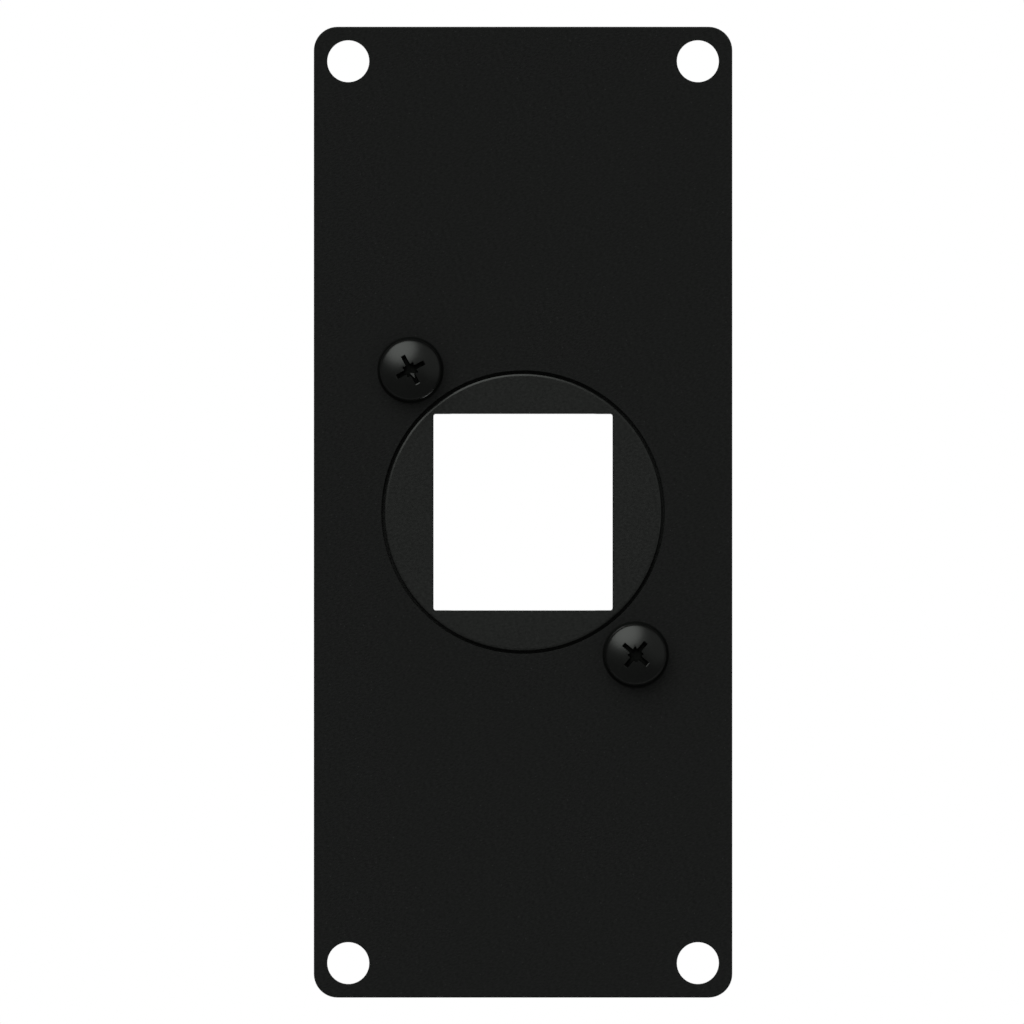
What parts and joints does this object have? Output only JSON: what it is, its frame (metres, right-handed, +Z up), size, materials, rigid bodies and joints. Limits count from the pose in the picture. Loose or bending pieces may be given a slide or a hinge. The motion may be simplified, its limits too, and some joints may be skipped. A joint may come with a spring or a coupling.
{
  "type": "keystone faceplate",
  "caption": "Narrow upright panel with rounded corners and corner fixing holes, and a round keystone adapter with a square window screwed behind its middle.",
  "frame": {"origin": "middle of the four corner holes, on the front face of the panel", "axes": "+X right as seen from the front, +Z up along the long side, front faces -Y"},
  "size_m": [0.0354, 0.0124, 0.082],
  "materials": {
    "panel_coating": "fine matt black powder coat on steel",
    "adapter_plastic": "satin black moulding with a fine spark grain",
    "screw_steel": "black plated steel, semi-matt",
    "nut_steel": "black plated steel, semi-matt"
  },
  "bodies": {
    "root": {"front_panel": "panel_coating", "keystone_adapter": "adapter_plastic", "screw_upper_left": "screw_steel", "screw_lower_right": "screw_steel", "nut_upper_left": "nut_steel", "nut_lower_right": "nut_steel"}
  },
  "joints": []
}
